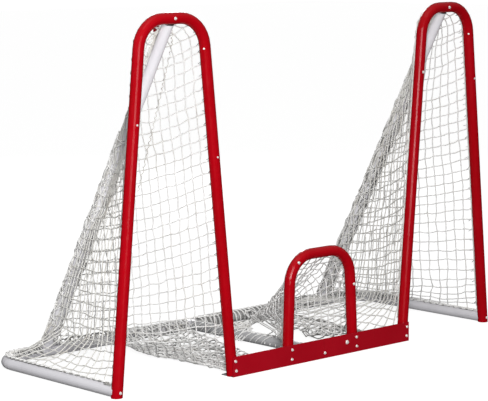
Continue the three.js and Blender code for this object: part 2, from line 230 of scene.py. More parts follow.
# -------------------- materials
NOISE_SPAN = (0.3, 0.7)  # most of a noise's values lie between these


class Paint:
    """A node material in the making, with short ways to add the nodes that these finishes share."""

    def __init__(self, name, roughness, **sockets):
        self.material = bpy.data.materials.new(name)
        self.material.use_nodes = True
        self.nodes, self.links = self.material.node_tree.nodes, self.material.node_tree.links
        self.shader = self.nodes["Principled BSDF"]
        set_sockets(self.shader, Roughness=roughness, **sockets)
        self.place = self.nodes.new("ShaderNodeTexCoord").outputs["Object"]

    def noise(self, scale, detail=3.0, rough=0.55, source=None):
        node = self.nodes.new("ShaderNodeTexNoise")
        set_sockets(node, Scale=scale, Detail=detail, Roughness=rough)
        self.links.new(source or self.place, node.inputs["Vector"])
        return node.outputs["Fac"]

    def stretched(self, scale):
        """The place on the object, scaled along each axis."""
        node = self.nodes.new("ShaderNodeVectorMath")
        node.operation = "MULTIPLY"
        node.inputs[1].default_value = scale
        self.links.new(self.place, node.inputs[0])
        return node.outputs[0]

    def remap(self, value, low, high, out_low=0.0, out_high=1.0):
        node = self.nodes.new("ShaderNodeMapRange")
        node.interpolation_type = "SMOOTHSTEP"
        set_sockets(node, From_Min=low, From_Max=high, To_Min=out_low, To_Max=out_high)
        self.links.new(value, node.inputs["Value"])
        return node.outputs["Result"]

    def math(self, operation, a, b=None):
        node = self.nodes.new("ShaderNodeMath")
        node.operation = operation
        for socket, value in zip(node.inputs, (a, b)):
            if value is None:
                continue
            if isinstance(value, (int, float)):
                socket.default_value = value
            else:
                self.links.new(value, socket)
        return node.outputs[0]

    def mix(self, factor, a, b):
        node = self.nodes.new("ShaderNodeMix")
        node.data_type = "RGBA"
        self.links.new(factor, node.inputs["Factor"])
        for socket, value in ((node.inputs[6], a), (node.inputs[7], b)):
            if isinstance(value, tuple):
                socket.default_value = (*value, 1)
            else:
                self.links.new(value, socket)
        return node.outputs[2]

    def bump(self, height, distance, strength, below=None):
        node = self.nodes.new("ShaderNodeBump")
        set_sockets(node, Strength=strength, Distance=distance)
        self.links.new(height, node.inputs["Height"])
        if below is not None:
            self.links.new(below, node.inputs["Normal"])
        return node.outputs["Normal"]

    def axis(self, letter):
        """The place on the object along one axis."""
        node = self.nodes.new("ShaderNodeSeparateXYZ")
        self.links.new(self.place, node.inputs[0])
        return node.outputs[letter]

    def finish(self, colour, roughness, normal):
        for socket, value in (("Base Color", colour), ("Roughness", roughness), ("Normal", normal)):
            self.links.new(value, self.shader.inputs[socket])
        return self.material


# Near-black, painted on the lowest strip of the plate's foot behind its face.
FOOT_STRIP_BLACK = (0.012, 0.010, 0.010)


def tube_paint(name, tone, pale, dark, specular, scuff_colour, foot=None):
    """Gloss paint with faint clouds, streaks along the tube, and scuffs that gather near the floor.

    A foot, if there is one, is black behind this Y and below this Z.
    """
    paint = Paint(name, 0.3, Specular_IOR_Level=specular)
    clouds = paint.remap(paint.noise(5, detail=4), *NOISE_SPAN)
    colour = paint.mix(clouds, tone, pale)
    lengthwise = paint.stretched((140, 140, 12))
    streaks = paint.remap(paint.noise(1, 5, 0.6, lengthwise), 0.56, 0.74)
    colour = paint.mix(paint.math("MULTIPLY", streaks, 0.35), colour, dark)
    near_floor = paint.remap(paint.axis("Z"), 0.0, 0.10, 1.0, 0.12)
    specks = paint.remap(paint.noise(260, 5, 0.7), 0.665, 0.70)
    patches = paint.remap(paint.noise(22), 0.5, 0.62)
    scuffs = paint.math("MULTIPLY", paint.math("MULTIPLY", specks, patches), near_floor)
    colour = paint.mix(scuffs, colour, scuff_colour)
    if foot:
        front, top = foot
        behind = paint.math("GREATER_THAN", paint.axis("Y"), front)
        low = paint.math("LESS_THAN", paint.axis("Z"), top)
        colour = paint.mix(paint.math("MULTIPLY", behind, low), colour, FOOT_STRIP_BLACK)
    gloss = paint.remap(paint.noise(38, detail=4), *NOISE_SPAN, 0.17, 0.27)
    roughness = paint.math("ADD", gloss, paint.math("MULTIPLY", scuffs, 0.3))
    peel = paint.bump(paint.noise(650, detail=2), 0.12 * MM, 0.5)
    return paint.finish(colour, roughness, paint.bump(scuffs, 0.2 * MM, 0.4, peel))


# Name, tone, paler clouds, darker streaks, specular level and scuffs of each paint.
red = tube_paint("red_steel", (0.34, 0.0005, 0.004), (0.38, 0.001, 0.006), (0.27, 0.0005, 0.003),
                 0.12, (0.16, 0.03, 0.03))
FOOT_FRONT, FOOT_TOP = plate_low[1] + 3.5 * MM, 3.4 * MM
plate_red = tube_paint("red_plate", (0.34, 0.003, 0.010), (0.37, 0.004, 0.012), (0.27, 0.003, 0.008),
                       0.08, (0.14, 0.03, 0.03), (FOOT_FRONT, FOOT_TOP))
white = tube_paint("white_steel", (0.78, 0.77, 0.81), (0.84, 0.83, 0.86), (0.66, 0.65, 0.69),
                   0.2, (0.28, 0.27, 0.27))
# The base tube is the same white steel, painted darker: painted shade on the tube that lies on the floor.
shaded_white = tube_paint("base_steel_painted_shade", (0.62, 0.61, 0.64), (0.68, 0.67, 0.70), (0.50, 0.49, 0.52),
                       0.2, (0.24, 0.23, 0.23))
# The stringer is white steel; this grey on it is painted shade, where it lies under the net.
grey = tube_paint("grey_steel", (0.36, 0.36, 0.37), (0.44, 0.44, 0.45), (0.25, 0.25, 0.26),
                  0.2, (0.12, 0.12, 0.12))


def metal_finish():
    """Dull zinc plating with a fine grain and brownish patches."""
    paint = Paint("zinc", 0.3, Metallic=0.3)
    grain = paint.remap(paint.noise(420, detail=4), *NOISE_SPAN)
    colour = paint.mix(grain, (0.80, 0.77, 0.74), (0.92, 0.90, 0.87))
    tarnish = paint.remap(paint.noise(90), 0.58, 0.72)
    colour = paint.mix(tarnish, colour, (0.45, 0.42, 0.38))
    rough = paint.remap(paint.noise(300), *NOISE_SPAN, 0.22, 0.42)
    return paint.finish(colour, rough, paint.bump(paint.noise(900), 0.08 * MM, 0.6))


def plastic_finish():
    """Moulded black plastic with a fine grain."""
    paint = Paint("black_plastic", 0.55, Specular_IOR_Level=0.4)
    clouds = paint.remap(paint.noise(60, detail=4), *NOISE_SPAN)
    colour = paint.mix(clouds, (0.012, 0.012, 0.013), (0.03, 0.03, 0.032))
    rough = paint.remap(paint.noise(180), *NOISE_SPAN, 0.42, 0.66)
    return paint.finish(colour, rough, paint.bump(paint.noise(1500, detail=2), 0.1 * MM, 0.6))


def cord_finish(name, tone, pale, grime_and_shade, plies, lay, depth):
    """Twisted cord. The uv map runs along the cord in metres and once round it.

    lay is the number of twists in a metre, and depth is how dark the painted shade in the grooves between the
    plies is.
    """
    paint = Paint(name, 0.85, Specular_IOR_Level=0.2, Sheen_Weight=0.25, Sheen_Roughness=0.5)
    uv = paint.nodes.new("ShaderNodeUVMap")
    uv.uv_map = "cord"
    turn = paint.nodes.new("ShaderNodeVectorMath")
    turn.operation = "DOT_PRODUCT"
    turn.inputs[1].default_value = (lay * 2 * pi, plies * 2 * pi, 0)
    paint.links.new(uv.outputs[0], turn.inputs[0])
    strand = paint.math("ABSOLUTE", paint.math("SINE", turn.outputs["Value"]))
    colour = paint.mix(paint.remap(paint.noise(26, detail=4), *NOISE_SPAN), tone, pale)
    dirt = paint.remap(paint.noise(9, 5, 0.6), 0.52, 0.75, 0.0, 0.55)
    colour = paint.mix(dirt, colour, grime_and_shade)
    # Painted shade in the grooves between the plies, in a darker share of the dirt colour.
    groove = paint.remap(strand, 0.0, 0.5, depth, 0.0)
    colour = paint.mix(groove, colour, tuple(0.45 * c for c in grime_and_shade))
    rough = paint.remap(paint.noise(500, detail=2), *NOISE_SPAN, 0.75, 0.95)
    twist = paint.bump(strand, 0.6 * MM, 0.8)
    return paint.finish(colour, rough, paint.bump(paint.noise(2600), 0.2 * MM, 0.6, twist))


zinc, black = metal_finish(), plastic_finish()
# Name, tone, paler clouds, dirt colour (a darker share of it is the painted shade in the grooves), plies, lay
# and groove depth of each cord.
net_cord = cord_finish("net_cord", (0.83, 0.825, 0.81), (0.92, 0.915, 0.905), (0.62, 0.59, 0.53),
                       3, 160, 0.22)
# Worn cord: real tan wear, and also painted shade where whole panels of it hang in shade.
worn_shaded_cord = cord_finish("worn_shaded_cord", (0.75, 0.735, 0.695), (0.88, 0.87, 0.84), (0.50, 0.46, 0.39),
                        3, 160, 0.35)
lace_cord = cord_finish("lace_cord", (0.86, 0.855, 0.84), (0.93, 0.925, 0.915), (0.66, 0.63, 0.58),
                        4, 120, 0.25)
# Shade cord: dark cord laid under and between the netting as painted shade.
shade_cord = cord_finish("shade_cord", (0.25, 0.245, 0.235), (0.36, 0.355, 0.34), (0.15, 0.14, 0.12),
                         3, 160, 0.5)
dark_cord = cord_finish("dark_cord", (0.07, 0.066, 0.062), (0.17, 0.165, 0.16), (0.05, 0.045, 0.04),
                        4, 120, 0.5)

FINISH_OF_SLOT = {"red_steel": red, "white_steel": white, "zinc": zinc, "black_plastic": black,
                  "netting": net_cord}
FINISH_OF_NODE = {"front_plate": plate_red, "centre_stringer": grey, "base_tube": shaded_white}


def dress_cad_nodes():
    """Gives every CAD node its own finish or its slot's."""
    for name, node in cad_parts.items():
        slots = [material.name for material in node.data.materials if material]
        by_slot = next((FINISH_OF_SLOT[key] for key in FINISH_OF_SLOT
                        if any(key in label for label in slots)), None)
        finish = FINISH_OF_NODE.get(name, by_slot)
        if finish:
            node.data.materials.clear()
            node.data.materials.append(finish)


dress_cad_nodes()


# -------------------- cords as swept tubes
def smooth_line(points, steps):
    """A Catmull-Rom curve through the points, with this many steps in each span."""
    points = np.asarray(points, float)
    if len(points) < 3:
        return np.array([points[0] + (points[-1] - points[0]) * s / steps for s in range(steps + 1)])
    padded = np.vstack([2 * points[0] - points[1], points, 2 * points[-1] - points[-2]])
    s = np.arange(steps)[None, :, None] / steps
    a, b, c, d = (padded[k:len(padded) - 3 + k][:, None, :] for k in range(4))
    curve = 0.5 * (2 * b + (c - a) * s + (2 * a - 5 * b + 4 * c - d) * s ** 2
                   + (3 * b - a - 3 * c + d) * s ** 3)
    return np.vstack([curve.reshape(-1, 3), points[-1:]])


SAME_PLACE = 0.01 * MM
ODD_DIRECTION = vec(0.31, 0.57, 0.76)  # few cords run along it, so that their frames can start from it


def run_along(path):
    """The length along a path at each of its points."""
    return np.r_[0, np.cumsum(norm(np.diff(path, axis=0), axis=1))]


def at_lengths(path, lengths):
    """The places at these lengths along a path."""
    run = run_along(path)
    return np.array([[np.interp(length, run, path[:, axis]) for axis in range(3)] for length in lengths])


def at_shares(path, shares):
    """The places at these shares of a path's length."""
    return at_lengths(path, run_along(path)[-1] * np.asarray(shares))


def directions(line):
    """The unit vector along a line at each of its points."""
    tangent = np.gradient(line, axis=0)
    return tangent / norm(tangent, axis=1)[:, None]


class CordMesh:
    """Collects swept cords and knots, and makes one mesh object of them."""

    def __init__(self, name, finish, radius=CORD_R, sides=6):
        self.name, self.finish, self.radius, self.sides = name, finish, radius, sides
        self.points, self.faces, self.uvs, self.count = [], [], [], 0

    def add_line(self, line, radius=None):
        """A round cord along the line, closed at both ends."""
        line = np.asarray(line, float)
        radius = radius or self.radius
        line = line[np.r_[True, norm(np.diff(line, axis=0), axis=1) > SAME_PLACE]]
        n, m = len(line), self.sides
        if n < 2:
            return
        tangent = directions(line)
        across = np.cross(tangent[0], ODD_DIRECTION)
        if norm(across) < 0.2:
            across = np.cross(tangent[0], vec(1, 0, 0))
        normals = np.empty((n, 3))
        for k in range(n):
            across = across - tangent[k] * across.dot(tangent[k])
            across /= norm(across)
            normals[k] = across
        other = np.cross(tangent, normals)
        angle = 2 * np.pi * np.arange(m)[None, :, None] / m
        ring = np.cos(angle) * normals[:, None] + np.sin(angle) * other[:, None]
        self.points.append((line[:, None] + radius * ring).reshape(-1, 3))
        length = run_along(line)
        start = rng.random()
        base = self.count
        for k in range(n - 1):
            for j in range(m):
                nxt = (j + 1) % m
                self.faces.append((base + k * m + j, base + k * m + nxt,
                                   base + (k + 1) * m + nxt, base + (k + 1) * m + j))
                v0, v1 = j / m, (j + 1) / m
                u0, u1 = start + length[k], start + length[k + 1]
                self.uvs.append(((u0, v0), (u0, v1), (u1, v1), (u1, v0)))
        for k, order in ((0, range(m - 1, -1, -1)), (n - 1, range(m))):
            self.faces.append(tuple(base + k * m + j for j in order))
            self.uvs.append(tuple((start + length[k], j / m) for j in order))
        self.count += n * m

    def add_knot(self, place, axis_a, axis_b, size):
        """A lump at a crossing, flattened in the plane of the two cords."""
        normal = np.cross(axis_a, axis_b)
        if norm(normal) < 1e-9:
            return
        normal /= norm(normal)
        a = axis_a / norm(axis_a)
        b = np.cross(normal, a)
        turn = rng.uniform(-0.6, 0.6)
        a, b = a * cos(turn) + b * sin(turn), b * cos(turn) - a * sin(turn)
        stretch = size * np.array([1.25, 0.95, 0.8]) * rng.uniform(0.88, 1.12, 3)
        shape = KNOT_POINTS * (1 + 0.16 * rng.standard_normal(len(KNOT_POINTS)))[:, None]
        self.points.append(place + (shape * stretch) @ np.array([a, b, normal]))
        start = rng.random()
        for face in KNOT_FACES:
            self.faces.append(tuple(self.count + k for k in face))
            balls = (KNOT_POINTS[k] for k in face)
            self.uvs.append(tuple((start + 0.004 * x, 0.3 * y) for x, y, _ in balls))
        self.count += len(KNOT_POINTS)

    def build(self, nodes=()):
        """Makes the piece, in the place of these CAD nodes if there are any."""
        mesh = bpy.data.meshes.new(self.name)
        mesh.from_pydata(np.vstack(self.points).tolist(), [], self.faces)
        layer = mesh.uv_layers.new(name="cord")
        layer.data.foreach_set("uv", np.array([c for face in self.uvs for c in face], "f").ravel())
        mesh.polygons.foreach_set("use_smooth", np.ones(len(mesh.polygons), bool))
        mesh.materials.append(self.finish)
        piece = add_object(self.name, mesh)
        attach(piece, "root")
        if nodes:
            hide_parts(*nodes)


def knot_shape():
    """A small ball of 26 points, the start of every knot."""
    points, faces = [(0, 0, 1)], []
    rings, around = 3, 8
    for i in range(1, rings + 1):
        polar = pi * i / (rings + 1)
        ring = sin(polar)
        for j in range(around):
            turn = 2 * pi * j / around
            points.append((ring * cos(turn), ring * sin(turn), cos(polar)))
    points.append((0, 0, -1))
    last = len(points) - 1
    for j in range(around):
        k = (j + 1) % around
        faces.append((0, 1 + j, 1 + k))
        faces.append((last, last - around + k, last - around + j))
        for i in range(rings - 1):
            a = 1 + i * around
            faces.append((a + j, a + around + j, a + around + k, a + k))
    return np.array(points), faces


KNOT_POINTS, KNOT_FACES = knot_shape()


def net_lines(grid, sag, wobble):
    """The rows and columns of a net as lists of points, through its knots and a slack middle between them."""
    lines = []
    for direction in (0, 1):
        sheet = grid if direction == 0 else grid.transpose(1, 0, 2)
        for row in sheet:
            points = [row[0]]
            for a, b in zip(row[:-1], row[1:]):
                span = norm(b - a)
                middle = (a + b) / 2 + rng.normal(0, wobble, 3) * min(1, span / MESH)
                level = sqrt(max(0.0, 1 - ((b[2] - a[2]) / max(span, 1e-6)) ** 2))
                middle[2] -= sag * level * min(1, span / MESH)
                points += [middle, b]
            lines.append(points)
    return lines


KNOT_SIZE = 3.2 * MM


def add_net(mesh, grid, sag=1.6 * MM, wobble=0.7 * MM):
    """A net with a knot at every place of the grid."""
    for points in net_lines(grid, sag, wobble):
        mesh.add_line(smooth_line(points, 2))
    rows, columns = grid.shape[:2]
    for i in range(rows):
        for j in range(columns):
            a = grid[i, min(j + 1, columns - 1)] - grid[i, max(j - 1, 0)]
            b = grid[min(i + 1, rows - 1), j] - grid[max(i - 1, 0), j]
            mesh.add_knot(grid[i, j], a, b, KNOT_SIZE)


# -------------------- the side nets
def inner_u(z):
    """How far along its arch the inner leg is at the height z."""
    return LEG_TAPER * z


TOP_GAP = 22 * MM  # the nets stop this far short of the middle of the top


def edge_path(side, outer, low):
    """The back of one tall leg, from a height up and over the bend to the middle of the top."""
    lean = atan(LEG_TAPER)
    spring = TOP_Z - BEND_R * (1 - sin(lean))
    centre = inner_u(spring) + BEND_R * cos(lean)
    flat = [(inner_u(z), z) for z in np.linspace(low, spring, 40)]
    for angle in np.linspace(-lean, pi / 2, 16)[1:]:
        flat.append((centre - BEND_R * cos(angle), TOP_Z - BEND_R + BEND_R * sin(angle)))
    flat.append((ARCH_SPAN / 2 - TOP_GAP, TOP_Z))
    return np.array([on_arch(side, ARCH_SPAN - u if outer else u, NET_OFF, z) for u, z in flat])


# By the height on the leg in mm: how much higher a row is at the leg than at the strut.
RISE_IN = [(0, 50), (100, 75), (243, 110), (285, 123), (363, 144), (519, 145), (715, 104), (870, 86),
           (1005, 70), (1150, 46), (1230, 34)]
RISE_OUT = [(0, 20), (195, 40), (324, 44), (461, 60), (570, 68), (870, 64), (1005, 54), (1150, 38),
            (1230, 28)]


def column_places(columns, width):
    """Distances from the leg. Near the strut the columns bunch, because the net is cut wider than the gap."""
    power = max(1.0, MESH * columns / width)
    share = np.arange(columns + 1) / columns
    return width * (1 - (1 - share) ** power)


def strut_ring(side, z, angle):
    """A place round a strut. The angle runs from 0 on the outer side over 90 at the back to 180 inside."""
    turn = radians(angle)
    return on_strut(side, z) + NET_OFF * vec(side * cos(turn), sin(turn), 0)


def even_places(columns, straight, width):
    """Distances from the leg at a steady spacing. What is left over is bunched behind the strut."""
    pitch = 0.86 * MESH
    if columns * pitch <= width:
        return width * np.arange(columns + 1) / columns
    open_columns = min(int(straight / pitch) + 1, columns)
    return np.r_[pitch * np.arange(open_columns), np.linspace(straight, width, columns + 1 - open_columns)]


# By the height on the leg in mm: how far the inner panel bellies outward.
BELLY_IN = [(0, 30), (200, 48), (400, 30), (700, 8), (900, 0)]
# By the height on the strut in mm: the angle round it at which a panel meets it.
OUTER_TURN = [(0, -25), (480, -25), (560, -70), (840, -70), (920, 20), (1200, 20)]
INNER_TURN = [(860, 180), (960, 140)]
OUTER_COLUMNS, OUTER_LOW, OUTER_WRAP = 17, 165 * MM, 90
INNER_COLUMNS, INNER_LOW, INNER_WRAP = {-1: 22, 1: 20}, 134 * MM, 100


def side_rows(side, outer, low, wrap_to, columns):
    """The rows of a panel from its leg to the strut and round it to the angle wrap_to."""
    path = edge_path(side, outer, low)
    count = int(run_along(path)[-1] / (MESH * 1.02))
    fronts = at_shares(path, np.arange(count + 1) / count)
    rows = []
    for front in fronts:
        rise = table(front[2] / MM, RISE_OUT if outer else RISE_IN) * MM
        z = min(front[2] - rise, STRUT_TOP_Z - 4 * MM)
        angles = np.linspace(table(z / MM, OUTER_TURN if outer else INNER_TURN), wrap_to, 9)
        bent = np.array([front] + [strut_ring(side, z, a) for a in angles])
        straight = norm(bent[1] - bent[0])
        share = np.linspace(0, 1, 24)
        sagged = bent[0] + (bent[1] - bent[0]) * share[:, None]
        hump = 4 * share * (1 - share)
        sagged[:, 2] -= 0.12 * rise * hump
        if not outer:
            sagged[:, 0] += side * table(front[2] / MM, BELLY_IN) * MM * hump
        line = np.vstack([sagged, bent[2:]])
        width = straight + norm(np.diff(bent[1:], axis=0), axis=1).sum()
        places = column_places(columns, width) if outer else even_places(columns, straight, width)
        rows.append(at_lengths(line, places))
    return np.array(rows)


FIRST_LOOSENESS, LAST_LOOSENESS = 0.25, 0.3  # at a panel's first and last column, to 1 in its middle


def wander(grid, amount, fixed_first=True):
    """Small smooth unevenness of a hand-hung net, less of it at the two edges where it is tied."""
    rows, columns = grid.shape[:2]
    noise = rng.normal(0, 1, (rows, columns, 3))
    smooth = noise.copy()
    for _ in range(2):
        padded = np.pad(smooth, ((1, 1), (1, 1), (0, 0)), mode="edge")
        smooth = (padded[1:-1, 1:-1] + padded[:-2, 1:-1] + padded[2:, 1:-1] + padded[1:-1, :-2]
                  + padded[1:-1, 2:]) / 5
    strength = np.ones((rows, columns, 1))
    if fixed_first:
        strength[:, 0] = FIRST_LOOSENESS
    strength[:, -1] = LAST_LOOSENESS
    return grid + (0.55 * noise + 1.6 * smooth) * amount * strength


def round_corner(side, x, y, z):
    """The bend of the base in plan, for a path that runs at x down the side and at y along the back."""
    radius = BEND_R - (SIDE_X - x)
    return [vec(side * (x - radius + radius * cos(angle)), y - radius + radius * sin(angle), z)
            for angle in np.linspace(0, pi / 2, 12)]


def base_path(side):
    """The top of the side tube from the outer foot round the corner and along the back tube to the strut."""
    x, y, z = SIDE_X - 6 * MM, BACK_Y - 6 * MM, 2 * TUBE_R + 2.5 * MM
    return np.array([vec(side * x, LEG_Y + SKIRT_LOW, z), *round_corner(side, x, y, z),
                     vec(side * (STRUT_FOOT_X - 20 * MM), y, z)])


SKIRT_LOW = 46 * MM
SKIRT_ROWS = 5


def skirt_rows(side, top):
    """The rows of the skirt, upwards from the base tube to the top row, which is the outer panel's lowest."""
    columns = len(top)
    base = at_shares(base_path(side), np.linspace(0, 1, columns))
    up_leg = [on_arch(side, ARCH_SPAN - inner_u(z), NET_OFF, z) for z in np.linspace(SKIRT_LOW, OUTER_LOW, 9)]
    leg = at_lengths(np.array(up_leg), np.linspace(0, OUTER_LOW - SKIRT_LOW, SKIRT_ROWS + 1))
    toward_strut = np.linspace(0, 1, columns)[:, None] ** 3
    at_leg = np.clip(1 - np.arange(columns) / 3.0, 0, 1)[:, None]
    rows = []
    for k in range(1, SKIRT_ROWS + 1):
        share = k / SKIRT_ROWS
        row = top + (base - top) * share
        row = row + np.array([0.0, 0.0, -18 * MM]) * sin(pi * share)
        row = row + vec(side * 14, 8, 0) * MM * toward_strut * sin(pi * min(1, 1.15 * share))
        row = row * (1 - at_leg) + (leg[SKIRT_ROWS - k] + (row - row[0])) * at_leg
        rows.append(row)
    loose = wander(np.array(rows[:-1]), 2.6 * MM)
    return np.vstack([base[None], loose[::-1]])


def build_side(side):
    """The outer panel with its skirt, and the inner panel down to its fold on the floor."""
    label = SIDE_NAMES[side]
    # The left outer and the right inner panels take the darker worn cord: partly real tan wear, partly
    # painted shade, as these panels hang in shade.
    outer_finish, inner_finish = (worn_shaded_cord, net_cord) if side < 0 else (net_cord, worn_shaded_cord)
    outer_mesh = CordMesh(f"{label}_outer_net_cords", outer_finish)
    outer = wander(side_rows(side, True, OUTER_LOW, OUTER_WRAP, OUTER_COLUMNS), 2.0 * MM)
    add_net(outer_mesh, np.vstack([skirt_rows(side, outer[0]), outer]))
    outer_mesh.build([f"{label}_outer_net", f"{label}_skirt_net"])

    inner_mesh = CordMesh(f"{label}_inner_net_cords", inner_finish)
    inner = wander(side_rows(side, False, INNER_LOW, INNER_WRAP, INNER_COLUMNS[side]), 2.3 * MM)
    low = low_edge(side, np.linspace(0, 1, inner.shape[1]))
    between = [low + (inner[0] - low) * share for share in (0.27, 0.52, 0.76)]
    add_net(inner_mesh, np.vstack([low[None], wander(np.array(between), 2 * MM), inner]))
    if side < 0:
        seam = [row[0] + (on_strut(side, row[-1][2]) - row[0]) * 0.66 for row in inner[14:]]
        lace = CordMesh("left_inner_seam", worn_shaded_cord, 1.6 * MM)
        lace.add_line(coil(np.array(seam), 2.8 * MM, 21 * MM, 9, 0.4))
        lace.build()
    inner_mesh.build([f"{label}_inner_net"])


# Where the inner panel folds onto the floor: X and Y from the goal line in mm, then the height.
FOLD = ((400, 45, 9), (392, 110, 9), (396, 162, 9), (398, 231, 9), (400, 324, 9), (412, 347, 9),
        (424, 382, 9), (419, 481, 10), (398, 572, 16), (390, 650, 36))


def fold_path(side):
    """The fold of the inner panel on the floor, from the plate to the back tube."""
    return np.array([vec(side * x * MM, LEG_Y + y * MM, z * MM) for x, y, z in FOLD])


def low_edge(side, shares):
    """The inner panel's lower edge: the fold on the floor, then the top of the back tube out to the strut."""
    on_tube = [vec(side * x * MM, BACK_Y - 5 * MM, 2 * TUBE_R + 3.5 * MM) for x in (394, 480, 570, 664)]
    return at_shares(np.vstack([fold_path(side), on_tube]), shares)


UNDERSIDE = vec(1.6, -2.0, -2.4) * MM  # from a cord to the dark one that outlines its shaded side
# How near the floor a knot of the spread and of the heaped net and an outline may lie.
LOWEST_KNOT, LOWEST_HEAPED, LOWEST_OUTLINE = 5.2 * MM, 5.6 * MM, 2.4 * MM


def build_floor(side):
    """The net on the floor between the side panel's lower edge and the stringer, tied up to the back tube."""
    label = SIDE_NAMES[side]
    mesh = CordMesh(f"{label}_floor_net_cords", net_cord, (2.3 if side < 0 else 2.6) * MM)
    # Dark cords as painted shade: outlines under the cords, and on the right the heap's lower layer and the
    # fold's edge.
    shaded = CordMesh(f"{label}_floor_net_shade", shade_cord, (1.6 if side < 0 else 2.2) * MM)
    if side < 0:
        add_spread_net(mesh, shaded, side)
    else:
        add_heaped_net(mesh, shaded)
    # On the right the fold's edge cords go into the dark cord: partly the real selvage, partly painted shade.
    target, radius = (mesh, 2.4 * MM) if side < 0 else (shaded, 2.9 * MM)
    for offset in (-4.5, -1.5, 1.5, 4.5):
        edge = at_shares(fold_path(side), np.linspace(0, 1, 40))
        edge += rng.normal(0, 1.2 * MM, edge.shape) + vec(side * offset, 0, 0.6 * abs(offset)) * MM
        target.add_line(smooth_line(edge, 3), radius)
    mesh.build([f"{label}_floor_net"])
    shaded.build()


def above_floor(grid, lowest):
    """The grid, with every place of it lifted to the lowest height allowed."""
    grid[:, :, 2] = np.maximum(grid[:, :, 2], lowest)
    return grid


def add_spread_net(mesh, shaded, side):
    """Slack netting spread on the floor, doubled along the fold."""
    rows, columns, doubled = 18, 11, 4
    shares = np.linspace(0, 1, rows)
    grid = []
    for share, edge in zip(shares, at_shares(fold_path(side), shares)):
        reach = (190 - 130 * share) * MM
        inner = vec(side * reach, edge[1] + (BACK_Y - 30 * MM - edge[1]) * 0.10, 12 * MM)
        line = edge + (inner - edge) * np.linspace(0, 1, columns)[:, None]
        line[:, 2] += table(share, [(0, 0), (0.8, 4), (1, 20)]) * MM
        grid.append(line)
    grid = above_floor(wander(np.array(grid), 4.5 * MM), LOWEST_KNOT)
    add_net(mesh, grid, sag=0, wobble=2.2 * MM)
    # A dark cord under each cord: painted shadow.
    for line in net_lines(grid + UNDERSIDE, 0, 2.2 * MM):
        shaded.add_line(smooth_line(np.maximum(line, vec(-9, -9, LOWEST_OUTLINE)), 2))
    second = wander(grid[:, :doubled] + np.array([side * -9, 14, 7]) * MM, 5 * MM)
    add_net(mesh, above_floor(second, LOWEST_KNOT), sag=0, wobble=2.5 * MM)


def inside(x, y, corners):
    """Whether a place lies within a polygon in plan."""
    hit = False
    for (xa, ya), (xb, yb) in zip(corners, corners[1:] + corners[:1]):
        if (ya > y) != (yb > y) and x < xa + (y - ya) * (xb - xa) / (yb - ya):
            hit = not hit
    return hit


# The right-hand floor net lies in a heap: its outline in plan, X and Y from the goal line in mm. Its second
# layer ends at a Y, and its height over the floor, in mm, rises towards the back tube.
HEAP = [(402, 60), (400, 200), (402, 330), (424, 382), (419, 481), (398, 572), (390, 660), (180, 655),
        (215, 500), (218, 352), (178, 212), (248, 168), (342, 204), (372, 120)]
SECOND_LAYER_END = 340
HEAP_RISE = [(0, 0), (430, 6), (560, 16), (655, 36)]
CELL_ALONG, CELL_ACROSS = vec(38, 19, 0), vec(16, 40, 0)


def add_heaped_net(mesh, shaded):
    """Slack netting on the floor, its cells pulled into flat diamonds, in two layers: the lower one in dark
    cord as painted shade, and under each cord of the upper one a dark cord as its painted shadow.
    """
    for layer, target in enumerate((mesh, shaded)):
        start = vec(210 + 19 * layer, 110 + 9 * layer, 0)
        places = {}
        for m in range(-30, 40):
            for n in range(-30, 40):
                x, y, _ = start + m * CELL_ALONG + n * CELL_ACROSS
                if not inside(x, y, HEAP) or (layer == 1 and y > SECOND_LAYER_END):
                    continue
                place = vec(x, y, 10 - 5 * layer + table(y, HEAP_RISE))
                place += rng.normal(0, 1, 3) * (5.5, 5.5, 3.0)
                place[2] = max(place[2], LOWEST_HEAPED / MM)
                places[m, n] = vec(0, LEG_Y, 0) + place * MM
        for (m, n), place in places.items():
            target.add_knot(place, CELL_ALONG, CELL_ACROSS, 3.6 * MM)
            for step in ((1, 0), (0, 1)):
                end = places.get((m + step[0], n + step[1]))
                if end is None:
                    continue
                middle = (place + end) / 2 + rng.normal(0, 2.4 * MM, 3)
                middle[2] = max(middle[2], 3 * MM)
                line = smooth_line([place, middle, end], 2)
                target.add_line(line)
                if target is mesh:
                    beneath = line + UNDERSIDE
                    beneath[:, 2] = np.maximum(beneath[:, 2], LOWEST_OUTLINE)
                    shaded.add_line(beneath)


# -------------------- the net of the small arch
def small_outline(count):
    """The back of the small arch from its left foot over the top to its right foot."""
    lean = atan(SMALL_TAPER)
    spring = SMALL_TOP_Z - BEND_R * (1 - sin(lean))
    centre = SMALL_FOOT_X - SMALL_TAPER * spring - BEND_R * cos(lean)
    right = [(SMALL_FOOT_X - SMALL_TAPER * z, z) for z in np.linspace(50 * MM, spring, 20)]
    right += [(centre + BEND_R * cos(a), SMALL_TOP_Z - BEND_R + BEND_R * sin(a))
              for a in np.linspace(-lean, pi / 2, 14)[1:]]
    flat = [(-x, z) for x, z in right] + [(x, z) for x, z in right[::-1]]
    path = np.array([vec(x, LEG_Y + NET_OFF, z) for x, z in flat])
    return at_shares(path, np.linspace(0, 1, count))


# In mm, with Y from the goal line: where the cords draw together, and how the hood's left part hangs inward.
GATHER = (130, 468, 54)
HOOD_INWARD, HOOD_FORWARD = 20, -9
STRINGER_TOP = 45
LOOSE_SHARE, LOOSE_COLUMNS = 0.14, 4  # the leftmost columns do not go through the gather


def from_goal_line(x, y, z):
    """A place given in mm, with Y from the goal line."""
    return vec(x, y, z) * MM + vec(0, LEG_Y, 0)


def hood_start():
    """Where the columns of the centre net leave the small arch, and each one's share of the way round it."""
    columns = 25
    front = small_outline(columns)
    shares = np.arange(columns) / (columns - 1)
    left_part = np.clip((0.62 - np.linspace(0, 1, columns)) / 0.12, 0, 1)[:, None]
    inward = np.array([vec(-x, 0, min(0, SMALL_TOP_Z - BEND_R - z)) for x, _, z in front])
    inward /= norm(inward, axis=1)[:, None]
    return zip(front + left_part * (HOOD_INWARD * inward + vec(0, HOOD_FORWARD, 0)) * MM, shares)


